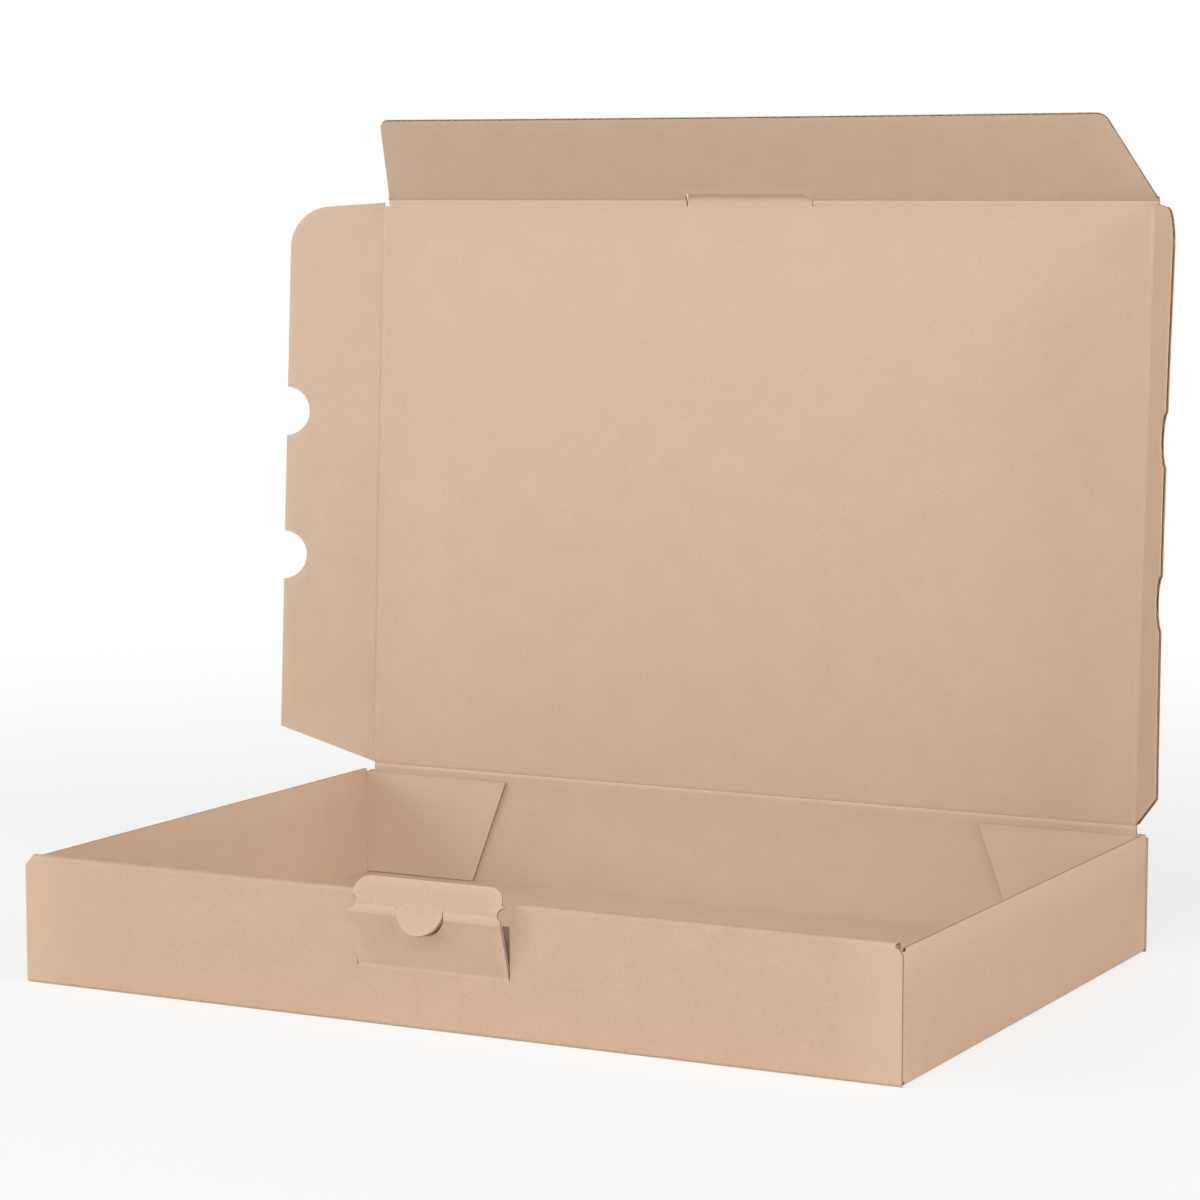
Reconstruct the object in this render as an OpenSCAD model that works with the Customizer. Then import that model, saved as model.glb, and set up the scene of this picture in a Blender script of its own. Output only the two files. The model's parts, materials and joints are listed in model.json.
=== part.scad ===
// Large letter mailer box, folded from one sheet of fluted board and shown with its lid up.
// The origin is the centre of the base's underside, the front is -Y and the back is +Y.

/* [Board] */
// Thickness of the fluted board
board_t = 1.5; // [1.2:0.1:2]
// Slit between two panels that turn on one crease
fold_gap = 0.3; // [0.2:0.05:0.5]

/* [Tray] */
// Outer length of the tray from end to end
tray_l = 350; // [260:1:420]
// Outer width of the tray from front to back
tray_w = 244.5; // [200:1:320]
// Height of the two end walls
side_h = 46.2; // [38:0.2:70]
// How far the rolled front wall stands above the end walls
roll_rise = 1.7; // [0.5:0.1:3]
// How far the lid's crease lies above the end walls
lid_seat = 1.6; // [1:0.1:3]
// Bevel where the back wall narrows to the lid's crease
back_bevel = 2.4; // [1:0.1:4]

/* [Front wall] */
// Room on each side of the corner flaps inside the rolled front wall
layer_gap = 0.1; // [0.05:0.05:0.4]
// How far the roll stops short of each end of the front wall
roll_inset = 2.6; // [2:0.1:8]
// Length of the corner flaps inside the front wall
front_flap_l = 60; // [30:1:100]

/* [Rear corner flaps] */
// Length of a rear corner flap along its top edge
rear_flap_top = 69; // [40:1:100]
// Length of a rear corner flap along the base
rear_flap_foot = 53; // [30:1:90]
// How far the corner flaps stop below the end walls' top edge
flap_drop = 1.2; // [0.5:0.1:4]

/* [Lock] */
// Width of the lock panel in the front wall
lock_w = 60.5; // [40:0.5:90]
// Height of the lock panel's lower crease above the underside
lock_z = 21.5; // [12:0.5:28]
// Distance of the lock's middle from the tray's middle, to the left
lock_shift = 1.5; // [0:0.1:5]
// How far the tongue's crease lies below the roll
lock_drop = 1.8; // [0:0.1:4]
// How far the lock panel leans out of the front wall, in degrees
lock_lean = 18; // [2:1:40]
// Cut clearance round the lock panel and its tongue
lock_gap = 0.4; // [0.3:0.05:0.8]
// Radius of the thumb tab and of the half-moon hole it leaves
thumb_r = 9.2; // [6:0.2:12]
// How far the thumb tab's centre lies above the tongue's crease
thumb_rise = 1.2; // [0:0.1:3]
// Distance of the thumb tab from the lock's middle, to the left
thumb_shift = 1.4; // [0:0.1:3]
// Length of the tongue from its crease
tongue_l = 11.6; // [8:0.2:20]
// Distance of the tongue from the lock's middle, to the right
tongue_shift = 0.9; // [0:0.1:2]
// Turn from the lock panel's plane to the tongue's plane, in degrees
tongue_turn = 38; // [5:1:60]
// Radius of the tongue's free corner on the left
tongue_corner = 7; // [3:0.5:9]
// Radius of the tongue's free corner on the right
tongue_corner_right = 5; // [1:0.5:9]
// Radius of the neck notches at the ends of the tongue's crease
neck_r = 2.4; // [1:0.1:3]

/* [Lid] */
// How far the lid's side creases lie inside the tray's ends
lid_side_inset = 4.5; // [3.5:0.1:8]
// How far the lid's front crease lies behind the tray's front when closed
lid_front_inset = 3.8; // [2:0.1:8]
// How far the lid leans back past upright, in degrees
lid_lean = 2.6; // [0:0.1:30]

/* [Lid side flaps] */
// Width of the side flaps from crease to free edge
side_flap_w = 40.6; // [25:0.1:60]
// Turn of the left flap out of the lid's plane, in degrees
left_turn = 34; // [0:1:80]
// Turn of the right flap out of the lid's plane, in degrees
right_turn = 61; // [0:1:80]
// Start of the side flaps above the hinge crease
flap_root = 1.2; // [1:0.1:6]
// Slope of the side flaps' lower edge, in degrees
flap_foot_slope = 20.6; // [5:0.1:35]
// Slope of the side flaps' upper edge, in degrees
flap_head_slope = 5.2; // [0:0.1:15]
// How much narrower the side flaps are at their upper end
flap_taper = 1.2; // [0:0.1:4]
// Radius of the side flaps' upper free corner
flap_corner = 17.5; // [5:0.5:20]
// Radius of the half-round notches in the side flaps' free edge
notch_r = 10.4; // [6:0.1:14]
// How far the notches' centres lie outside the free edge
notch_out = 1; // [0:0.1:4]
// Distance between the two notches' centres
notch_span = 61; // [40:1:90]

/* [Tuck flap] */
// Length of the tuck flap from its crease to its free edge
tuck_l = 44; // [30:0.2:60]
// Turn of the tuck flap out of the lid's plane, in degrees
tuck_turn = 44; // [0:1:80]
// How far the tuck flap's ends start inside the lid's side creases
tuck_inset = 0.6; // [0.2:0.1:5]
// Distance of the tuck flap's middle from the lid's middle, to the right
tuck_shift = 2; // [0:0.1:3]
// Taper of the tuck flap's ends, in degrees
tuck_taper = 16; // [5:0.5:25]
// Radius of the tuck flap's free corners
tuck_corner = 4.5; // [2:0.5:15]

/* [Slit lip] */
// Width of the lip that stands up in the lid's plane at the front crease
lip_w = 55.2; // [30:0.2:80]
// How far the lip stands past the crease
lip_l = 3.9; // [2:0.1:8]
// Bevel at the lip's left end
lip_bevel_left = 1.2; // [0.2:0.1:3]
// Bevel at the lip's right end
lip_bevel_right = 3; // [0.2:0.1:6]

/* [Hidden] */
$fn = 48;
// Sub-millimetre overlap that fuses two shapes of one sheet
weld = 0.2;
// How far a cutting shape stands past the board that it cuts
over = 1;
// Radius of the round edge that a panel turns on, just inside the board's two faces
edge_r = board_t / 2 - 0.01;
// Half of the board plus the slit, from a crease to the next panel's edge
crease_set = board_t / 2 + fold_gap;
// Outer radius and full thickness of the rolled front wall
roll_r = (3 * board_t + 2 * layer_gap) / 2;
front_h = side_h + roll_rise;
front_y = -tray_w / 2;
back_y = tray_w / 2;
inner_y = front_y + 2 * roll_r - board_t;
roll_y = front_y + roll_r;
roll_z = front_h - roll_r;
// Rolled part and inner layer lie between the end walls
roll_l = tray_l - 2 * roll_inset;
flap_h = side_h - flap_drop;
// Crease that carries the lid
hinge_y = back_y - board_t / 2;
hinge_z = side_h + lid_seat;
lid_w = tray_l - 2 * lid_side_inset;
lid_l = tray_w - board_t / 2 - lid_front_inset;
// Crease that carries the lock panel, and the panel's height up to the roll
lock_y = front_y + board_t / 2;
lock_h = roll_z - lock_drop - lock_z;
lock_half = lock_w / 2;
// Tongue's two sides, from the lock's middle
tongue_left = tongue_shift - lock_half - lock_gap / 2;
tongue_right = tongue_shift + lock_half + lock_gap / 2;
// Depth of the tongue's cut-out in the inner layer: the tongue less the way round the roll
cutout_h = tongue_l - lock_drop - PI * (roll_r - board_t / 2) + lock_gap + board_t;
board_colour = "#CFAC90";
inside_colour = "#D6B496";

// Wall along X with a rounded fold at its foot, its outer face on y = 0
module long_wall(length, height) {
    translate([-length / 2, 0, board_t]) cube([length, board_t, height - board_t]);
    intersection() {
        translate([-length / 2, board_t, board_t]) rotate([0, 90, 0]) cylinder(r = board_t, h = length);
        translate([-length / 2, 0, 0]) cube([length, board_t, board_t]);
    }
}

// Wall along Y with a rounded fold at its foot, its outer face on x = 0
module end_wall(length, height) {
    translate([0, -length / 2, board_t]) cube([board_t, length, height - board_t]);
    intersection() {
        translate([board_t, length / 2, board_t]) rotate([90, 0, 0]) cylinder(r = board_t, h = length);
        translate([0, -length / 2, 0]) cube([board_t, length, board_t]);
    }
}

// Board in the X-Z plane, cut to an outline of [x, z] points, its front face on y = 0
module upright_board(points) {
    translate([0, board_t, 0]) rotate([90, 0, 0]) linear_extrude(board_t) polygon(points);
}

// Board centred on the plane of a crease, cut to an outline
module flat_board(points) {
    translate([0, 0, -board_t / 2]) linear_extrude(board_t) polygon(points);
}

// Round edge of a panel along X, on its crease
module round_edge(x_from, x_to) {
    translate([x_from, 0, 0]) rotate([0, 90, 0]) cylinder(r = edge_r, h = x_to - x_from);
}

// Points of a rounded corner: centre, radius, first and last angle
function corner(c, r, from, to, steps = 8) =
    [for (i = [0:steps]) let (a = from + (to - from) * i / steps) c + r * [cos(a), sin(a)]];

// Height of a rounded corner's centre, under an edge that falls by slope from top to the outer side
function corner_y(side, top, slope, r) = top - (side - r) * tan(slope) - r / cos(slope);

module front_wall() {
    translate([0, front_y, 0]) difference() {
        long_wall(tray_l, roll_z);
        // Outer corners are cut off beside the roll
        for (s = [-1, 1]) translate([s * tray_l / 2, board_t / 2, roll_z])
            rotate([0, 45, 0]) cube([roll_inset, 2 * board_t, roll_inset], center = true);
    }
    // Roll over the top: a half round shell
    translate([-roll_l / 2, roll_y, roll_z]) rotate([0, 90, 0]) difference() {
        cylinder(r = roll_r, h = roll_l);
        translate([0, 0, -over]) cylinder(r = roll_r - board_t, h = roll_l + 2 * over);
        translate([0, -2 * roll_r, -over]) cube([2 * roll_r, 4 * roll_r, roll_l + 2 * over]);
    }
    translate([-roll_l / 2, inner_y, board_t - weld])
        cube([roll_l, board_t, roll_z - board_t + weld]);
}

// Room cut out of the front wall for the lock panel and its tongue
module lock_room() {
    left = -lock_half - lock_gap;
    right = lock_half + lock_gap;
    far_right = tongue_right + lock_gap;
    left_r = min(tongue_corner, cutout_h - weld);
    right_r = min(tongue_corner_right, cutout_h - weld);
    // Through the outer layer, wider where the tongue passes, and through the roll
    translate([left, front_y - over, lock_z - crease_set])
        cube([right - left, board_t + over + layer_gap, front_h]);
    translate([left, front_y - over, roll_z - lock_drop - board_t])
        cube([far_right - left, board_t + over + layer_gap, front_h]);
    translate([left, front_y - over, roll_z]) cube([far_right - left, 2 * roll_r + 2 * over, front_h]);
    // Tongue's outline in the inner layer, with its two round corners
    translate([0, inner_y + board_t + over, roll_z - cutout_h]) rotate([90, 0, 0])
        linear_extrude(board_t + over + layer_gap) polygon(concat(
            corner([left + left_r, left_r], left_r, 180, 270),
            corner([far_right - right_r, right_r], right_r, 270, 360),
            [[far_right, front_h], [left, front_h]]
        ));
}

// Corner flap glued inside the back wall, its free end slanting; the left one, or mirrored
module rear_corner_flap() {
    x = -tray_l / 2;
    translate([0, back_y - 2 * board_t, 0]) upright_board([
        [x, board_t - weld], [x + rear_flap_foot, board_t - weld], [x + rear_flap_top, flap_h], [x, flap_h]
    ]);
}

// Corner flap held between the layers of the front wall
module front_corner_flap() {
    x = -tray_l / 2;
    translate([0, front_y + board_t + layer_gap, 0]) upright_board([
        [x, board_t - weld], [x + front_flap_l, board_t - weld], [x + front_flap_l, flap_h], [x, flap_h]
    ]);
}

module back_wall() {
    top = hinge_z - crease_set;
    // Upper corners narrow to the lid's crease
    translate([0, back_y - board_t, 0]) upright_board([
        [-tray_l / 2, board_t], [tray_l / 2, board_t], [tray_l / 2, top - back_bevel],
        [tray_l / 2 - back_bevel, top], [-tray_l / 2 + back_bevel, top], [-tray_l / 2, top - back_bevel]
    ]);
    translate([0, back_y, 0]) mirror([0, 1, 0]) long_wall(tray_l, board_t + weld);
}

module tray() {
    color(board_colour) difference() {
        union() {
            translate([-tray_l / 2 + board_t, front_y + board_t, 0])
                cube([tray_l - 2 * board_t, tray_w - 2 * board_t, board_t]);
            front_wall();
            back_wall();
            for (s = [0, 1]) mirror([s, 0, 0]) {
                translate([-tray_l / 2, 0, 0]) end_wall(tray_w - 2 * board_t, side_h);
                rear_corner_flap();
                front_corner_flap();
            }
        }
        translate([-lock_shift, 0, 0]) lock_room();
    }
}

// Everything on the lock panel, from the panel's crease
module on_lock() {
    translate([-lock_shift, lock_y, lock_z]) rotate([90 + lock_lean, 0, 0]) children();
}

module lock_panel() {
    color(board_colour) on_lock() difference() {
        union() {
            flat_board([
                [-lock_half, 0], [lock_half, 0], [lock_half, lock_h - crease_set], [-lock_half, lock_h - crease_set]
            ]);
            round_edge(-lock_half, lock_half);
        }
        // Half-moon hole that the thumb tab was cut from
        translate([-thumb_shift, lock_h + thumb_rise, -board_t]) cylinder(r = thumb_r + lock_gap, h = 2 * board_t);
    }
}

module lock_tongue() {
    left_r = tongue_corner;
    right_r = tongue_corner_right;
    color(board_colour) on_lock() translate([0, lock_h, 0]) rotate([-tongue_turn, 0, 0]) {
        difference() {
            union() {
                flat_board(concat(
                    [[-lock_half, 0], [lock_half, 0], [lock_half, neck_r], [tongue_right, neck_r]],
                    corner([tongue_right - right_r, tongue_l - right_r], right_r, 0, 90),
                    corner([tongue_left + left_r, tongue_l - left_r], left_r, 90, 180),
                    [[tongue_left, neck_r], [-lock_half, neck_r]]
                ));
                round_edge(-lock_half, lock_half);
            }
            // Neck notches
            for (x = [tongue_left, tongue_right])
                translate([x, neck_r, -board_t]) cylinder(r = neck_r, h = 2 * board_t);
        }
        // Thumb tab, cut from the lock panel
        intersection() {
            translate([-thumb_shift, thumb_rise, -board_t / 2]) cylinder(r = thumb_r, h = board_t);
            translate([-thumb_shift - thumb_r, -thumb_r, -board_t / 2]) cube([2 * thumb_r, thumb_r, board_t]);
        }
    }
}

// Everything on the lid, from the hinge crease
module on_lid() {
    translate([0, hinge_y, hinge_z]) rotate([90 - lid_lean, 0, 0]) children();
}

// Outline of the lip past the front crease, grown by a gap
function lip_points(base, gap) = [
    [lip_w / 2 + gap, base],
    [lip_w / 2 + gap, lid_l + lip_l + gap - lip_bevel_right - gap / 2],
    [lip_w / 2 + gap / 2 - lip_bevel_right, lid_l + lip_l + gap],
    [-lip_w / 2 - gap / 2 + lip_bevel_left, lid_l + lip_l + gap],
    [-lip_w / 2 - gap, lid_l + lip_l + gap - lip_bevel_left - gap / 2],
    [-lip_w / 2 - gap, base]
];

module lid_panel() {
    half = lid_w / 2 - crease_set;
    head = lid_l - crease_set;
    color(inside_colour) on_lid() {
        flat_board(concat([[-half, 0], [half, 0], [half, head]], lip_points(head, 0), [[-half, head]]));
        round_edge(-half, half);
    }
}

// Side flap that lies along +X from its crease; the crease is on the Y axis
module side_flap() {
    side = side_flap_w;
    foot_y = flap_root + side * tan(flap_foot_slope);
    head_y = lid_l - crease_set;
    c = [side - flap_taper - flap_corner, corner_y(side - flap_taper, head_y, flap_head_slope, flap_corner)];
    difference() {
        union() {
            flat_board(concat(
                [[0, flap_root], [side, foot_y]], corner(c, flap_corner, 0, 90 - flap_head_slope), [[0, head_y]]
            ));
            translate([0, flap_root, 0]) rotate([-90, 0, 0]) cylinder(r = edge_r, h = head_y - flap_root);
        }
        for (s = [-1, 1]) translate([side + notch_out, lid_l / 2 + s * notch_span / 2, -board_t])
            cylinder(r = notch_r, h = 2 * board_t);
    }
}

module left_side_flap() {
    color(inside_colour) on_lid() translate([-lid_w / 2, 0, 0])
        rotate([0, left_turn, 0]) mirror([1, 0, 0]) side_flap();
}

module right_side_flap() {
    color(inside_colour) on_lid() translate([lid_w / 2, 0, 0]) rotate([0, -right_turn, 0]) side_flap();
}

module tuck_flap() {
    root = lid_w / 2 - tuck_inset;
    tip = root - tuck_l * tan(tuck_taper);
    // Corner centre: inside the free edge and inside the slanting end
    c = [tip - tuck_corner * (1 - sin(tuck_taper)) / cos(tuck_taper), tuck_l - tuck_corner];
    lip_half = lip_w / 2 + lock_gap;
    color(board_colour) on_lid() translate([tuck_shift, lid_l, 0]) rotate([tuck_turn, 0, 0]) {
        difference() {
            flat_board(concat(
                [[-root, 0], [root, 0]],
                corner(c, tuck_corner, tuck_taper, 90),
                corner([-c[0], c[1]], tuck_corner, 90, 180 - tuck_taper)
            ));
            translate([-tuck_shift, -lid_l, -board_t])
                linear_extrude(2 * board_t) polygon(lip_points(lid_l - board_t, lock_gap));
        }
        round_edge(-root, -lip_half - tuck_shift);
        round_edge(lip_half - tuck_shift, root);
    }
}

tray();
lock_panel();
lock_tongue();
lid_panel();
left_side_flap();
right_side_flap();
tuck_flap();
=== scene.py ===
"""Large letter mailer box in brown fluted board, dressed over its packed frame."""

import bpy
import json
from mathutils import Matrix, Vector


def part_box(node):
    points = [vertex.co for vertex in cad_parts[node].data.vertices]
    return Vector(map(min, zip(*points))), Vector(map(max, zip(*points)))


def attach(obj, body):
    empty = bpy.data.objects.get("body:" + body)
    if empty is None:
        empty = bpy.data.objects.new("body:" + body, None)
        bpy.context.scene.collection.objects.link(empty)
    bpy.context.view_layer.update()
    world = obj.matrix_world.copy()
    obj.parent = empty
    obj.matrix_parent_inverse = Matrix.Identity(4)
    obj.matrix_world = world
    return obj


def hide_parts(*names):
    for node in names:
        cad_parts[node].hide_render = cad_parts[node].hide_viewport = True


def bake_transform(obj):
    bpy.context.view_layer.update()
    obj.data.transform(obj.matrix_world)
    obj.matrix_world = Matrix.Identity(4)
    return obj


bl_info = {
    "name": "Large letter mailer box",
    "version": (1, 0, 0),
    "blender": (4, 5, 0),
    "location": "View3D > Sidebar > Mailer box",
    "description": "Folds a large letter mailer box from fluted board over its packed frame",
    "category": "Object",
}

import json
from math import acos, asin, atan2, cos, hypot, pi, radians, sin, tan

import bmesh
import bpy
from mathutils import Matrix, Vector

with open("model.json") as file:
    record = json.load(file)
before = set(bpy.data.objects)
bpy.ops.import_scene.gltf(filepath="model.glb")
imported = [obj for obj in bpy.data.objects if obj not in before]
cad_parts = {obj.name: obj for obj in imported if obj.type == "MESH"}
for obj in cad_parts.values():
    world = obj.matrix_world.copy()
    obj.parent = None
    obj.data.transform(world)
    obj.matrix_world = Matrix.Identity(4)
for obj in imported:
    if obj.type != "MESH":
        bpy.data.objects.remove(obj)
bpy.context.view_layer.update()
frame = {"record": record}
JOINTS = {joint["name"]: joint for joint in frame["record"]["behaviour"]["joints"]}
MM = 0.001
# How near a point lies to a line that it is on
NEAR = 0.01 * MM

X = Vector((1, 0, 0))
Y = Vector((0, 1, 0))
Z = Vector((0, 0, 1))


def length(name, description, size_mm):
    """Length property whose default is given in millimetres."""
    return bpy.props.FloatProperty(
        name=name, description=description, default=size_mm * MM, precision=5, unit="LENGTH",
        subtype="DISTANCE",
    )


def turn(name, description, degrees):
    """Angle property whose default is given in degrees."""
    return bpy.props.FloatProperty(
        name=name, description=description, default=radians(degrees), unit="ROTATION", subtype="ANGLE"
    )


def linear(code):
    """Linear colour from an sRGB hex code."""
    levels = [int(code[i:i + 2], 16) / 255 for i in (1, 3, 5)]
    return tuple(c / 12.92 if c <= 0.04045 else ((c + 0.055) / 1.055) ** 2.4 for c in levels)


def colour(name, description, code):
    """Colour property whose default is an sRGB hex code."""
    return bpy.props.FloatVectorProperty(
        name=name, description=description, default=linear(code), min=0, max=1, size=3, subtype="COLOR"
    )


def box_size(node, axis):
    """Size of a node's box along an axis, in millimetres."""
    low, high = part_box(node)
    return (high[axis] - low[axis]) / MM


class BoardSizes(bpy.types.PropertyGroup):
    """Fluted board that the box is cut from"""
    thickness: length("Thickness", "Board from face to face", 1.5)
    liner: length("Liner", "Paper of the two faces", 0.24)
    medium: length("Fluting paper", "Paper of the wave between the faces", 0.2)
    pitch: length("Flute pitch", "Distance from one flute to the next", 3.5)
    reach: length("Crease reach", "Pressed zone on each side of a crease", 2.2)
    lock_reach: length("Tongue crease reach", "Pressed zone on each side of the tongue's crease", 1.5)
    foot_reach: length("Lock foot reach", "Pressed zone on each side of the lock panel's foot crease", 0.7)
    groove: length("Crease groove", "Depth to which a crease is pressed in", 0.25)
    bead: length("Crease bead", "Height of the ridge inside a crease", 0.16)
    pinch: length("Fold pinch", "How far the inner face lies back in a tight fold", 0.4)
    crush: length("Crushed edge", "How far a die-cut edge is pressed thin", 0.08)
    edge_band: length("Edge band", "Width of the crushed band along a cut edge", 0.7)


class TraySizes(bpy.types.PropertyGroup):
    """Tray, measured as in the solids"""
    long: length("Length", "Tray from end to end", box_size("tray", 0))
    wide: length("Width", "Tray from front to back", 244.5)
    side: length("End wall height", "Height of the two end walls", 46.2)
    front: length("Front height", "Height of the rolled front wall", box_size("tray", 2))
    gap: length("Layer gap", "Room beside the corner flaps in the front wall", 0.1)
    roll_inset: length("Roll inset", "How far the roll stops short of the ends", 2.6)
    bevel: length("Back bevel", "Bevel of the back wall's upper corners", 2.4)
    front_flap: length("Front corner flap", "Length of the hidden corner flaps", 60)
    rear_top: length("Rear flap top", "Length of a rear corner flap at its top", 69)
    rear_foot: length("Rear flap foot", "Length of a rear corner flap at its foot", 53)
    flap_drop: length("Corner flap drop", "How far the corner flaps stop below the end walls", 1.2)


class LidSizes(bpy.types.PropertyGroup):
    """Lid, its side flaps and its tuck flap"""
    wide: length("Width", "Lid between its side creases", 341)
    deep: length("Depth", "Lid from the hinge crease to the front crease", 239.95)
    flap: length("Side flap width", "Side flap from crease to free edge", 40.6)
    root: length("Flap root", "Start of the side flaps above the hinge", 1.2)
    foot_slope: turn("Foot slope", "Slope of the side flaps' lower edge", 20.6)
    head_slope: turn("Head slope", "Slope of the side flaps' upper edge", 5.2)
    taper: length("Flap taper", "How much narrower the flaps are at the top", 1.2)
    corner: length("Flap corner", "Radius of the flaps' upper corner", 17.5)
    notch: length("Notch radius", "Radius of the half-round notches", 10.4)
    notch_out: length("Notch centre", "How far the notches' centres lie outside", 1)
    notch_span: length("Notch span", "Distance between the notches", 61)
    tuck: length("Tuck length", "Tuck flap from crease to free edge", 44)
    tuck_inset: length("Tuck inset", "How far the tuck's ends start inside", 0.6)
    tuck_shift: length("Tuck shift", "Tuck's middle from the lid's middle", 2)
    tuck_taper: turn("Tuck taper", "Taper of the tuck's ends", 16)
    tuck_corner: length("Tuck corner", "Radius of the tuck's corners", 4.5)
    lip: length("Lip width", "Width of the slit lip", 55.2)
    lip_up: length("Lip height", "How far the lip stands past the crease", 3.9)
    lip_left: length("Left bevel", "Bevel at the lip's left end", 1.2)
    lip_right: length("Right bevel", "Bevel at the lip's right end", 3)
    lean: turn("Lid lean", "How far the lid leans back", 2.6)
    left: turn("Left turn", "Turn of the left flap out of the lid", 34)
    right: turn("Right turn", "Turn of the right flap out of the lid", 61)
    fold: turn("Tuck turn", "Turn of the tuck flap out of the lid", 44)


class LockSizes(bpy.types.PropertyGroup):
    """Lock panel, tongue and thumb tab in the front wall"""
    wide: length("Width", "Width of the lock panel", 60.5)
    tall: length("Height", "Lock panel from crease to crease", 22.25)
    gap: length("Cut clearance", "Clearance round the lock", 0.4)
    thumb: length("Thumb radius", "Radius of the thumb tab", 9.2)
    thumb_rise: length("Thumb rise", "Tab's centre above the crease", 1.2)
    thumb_shift: length("Thumb shift", "Tab's centre left of the lock's middle", 1.4)
    tongue: length("Tongue length", "Tongue from its crease", 11.6)
    shift: length("Tongue shift", "Tongue's middle from the lock's middle", 0.9)
    corner: length("Left tongue corner", "Radius of the tongue's left corner", 7)
    corner_right: length("Right tongue corner", "Radius of the tongue's right corner", 5)
    neck: length("Neck notch", "Radius of the neck notches", 2.4)
    lean: turn("Lean", "How far the lock panel leans out", 18)
    fold: turn("Tongue turn", "Turn of the tongue out of the panel", 38)


class Finish(bpy.types.PropertyGroup):
    """Colours of the paper and of the stage"""
    outside: colour("Outside liner", "Brown kraft paper of the outer face", "#CDAD95")
    # Inside liner: the kraft's own tone, raised a little as painted light to lift the shade inside the tray
    inside: colour("Inside liner", "Brown kraft paper of the inner face", "#D2B9A3")
    # Fluting: darker pulp, made deeper and warmer as painted shade for the gaps at the cut edges
    flute: colour("Fluting", "Darker paper of the wave", "#B08560")
    fleck: colour("Dark fibre", "Dark fibres and specks in the paper", "#8F6C50")
    pale: colour("Pale fibre", "Pale fibres and rubbed paper", "#DCC6B0")
    floor: colour("Floor", "Plain pale floor", "#F7F7F6")


GROUPS = {
    "mailer_board": BoardSizes,
    "mailer_tray": TraySizes,
    "mailer_lid": LidSizes,
    "mailer_lock": LockSizes,
    "mailer_finish": Finish,
}


class Crease:
    """Pressed line on which one panel turns against another. A point is given by its distance past the
    crease, its place along the crease and its height over the middle of the board, outer face up."""

    def __init__(self, joint, along, ahead, outer, angle, reach):
        self.joint = JOINTS[joint]
        self.origin = Vector(self.joint["pos_m"])
        self.along, self.ahead, self.outer = along, ahead, outer
        self.angle, self.reach = angle, reach

    def basis(self, part):
        a = self.angle * part
        return self.ahead * cos(a) - self.outer * sin(a), self.outer * cos(a) + self.ahead * sin(a)

    def point(self, past, along, height, part=1.0):
        ahead, outer = self.basis(part)
        return self.origin + self.along * along + ahead * past + outer * height

    def bent(self, past, along, height):
        """Point in the pressed zone, which follows an arc from the one panel to the other."""
        part = min(max((past + self.reach) / (2 * self.reach), 0), 1)
        if abs(self.angle) < 0.1:
            return self.point(past, along, height, part)
        now, radius = self.angle * part, self.reach / tan(self.angle / 2)
        way = radius * (self.ahead * sin(now) - self.outer * (1 - cos(now))) - self.ahead * self.reach
        return self.origin + way + self.along * along + self.basis(part)[1] * height

    def join(self, piece):
        """Bakes the piece's placement into its mesh; the bend of the pressed zone is already in its shape."""
        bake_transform(piece)


class Bend:
    """Line in a cross-section that flat board follows: straight runs and round folds.
    A run is its length and its turn; the outer face lies to the left of the way ahead."""

    def __init__(self, start, heading, runs):
        self.start, self.heading, self.runs = Vector(start), heading, runs

    def at(self, way, height):
        spot, heading = self.start.copy(), self.heading
        last = len(self.runs) - 1
        for i, (span, angle) in enumerate(self.runs):
            part = way if i == last or way < span else span
            if i == 0 and way < 0:
                part = way
            if angle:
                radius = span / angle
                now = heading + part / radius
                spot += radius * Vector((sin(now) - sin(heading), cos(heading) - cos(now)))
                heading = now
            else:
                spot += part * Vector((cos(heading), sin(heading)))
            way -= part
            if way <= 0:
                break
        return spot + height * Vector((-sin(heading), cos(heading)))


def arc_steps(radius, angle):
    """Steps of a cut arc, so that its flats stay under a few hundredths of a millimetre."""
    return max(3, int(abs(angle) * radius / (0.9 * MM)))


def draw_outline(bm, path):
    """Closed edge loop of a die-cut panel. A step is a corner (x, y), a rounded corner (x, y, radius),
    or an arc ((centre x, centre y), turn) from the last corner, and the loop is filled with one face."""
    corners = [step for step in path if not isinstance(step[0], tuple)]
    first = last = None

    def reach(point):
        nonlocal first, last
        vert = bm.verts.new(point)
        if last:
            bm.edges.new((last, vert))
        first, last = first or vert, vert

    def swing(centre, angle):
        nonlocal last
        radius = hypot(last.co.x - centre[0], last.co.y - centre[1])
        swung = bmesh.ops.spin(
            bm, geom=[last], cent=(*centre, 0), axis=(0, 0, 1), angle=angle, steps=arc_steps(radius, angle),
            use_duplicate=False,
        )
        last = next(v for v in swung["geom_last"] if isinstance(v, bmesh.types.BMVert))

    for step in path:
        if isinstance(step[0], tuple):
            swing(*step)
            continue
        here = Vector((step[0], step[1], 0))
        if len(step) == 2:
            reach(here)
            continue
        i = corners.index(step)
        before = (Vector((*corners[i - 1][:2], 0)) - here).normalized()
        after = (Vector((*corners[(i + 1) % len(corners)][:2], 0)) - here).normalized()
        opening = before.angle(after)
        start = here + before * step[2] / tan(opening / 2)
        side = 1 if before.cross(after).z < 0 else -1
        middle = here + (before + after).normalized() * step[2] / sin(opening / 2)
        reach(start)
        swing((middle.x, middle.y), side * (pi - opening))
    bm.edges.new((last, first))
    bmesh.ops.remove_doubles(bm, verts=bm.verts[:], dist=0.002 * MM)
    bmesh.ops.edgeloop_fill(bm, edges=[e for e in bm.edges if e.is_wire])


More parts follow.
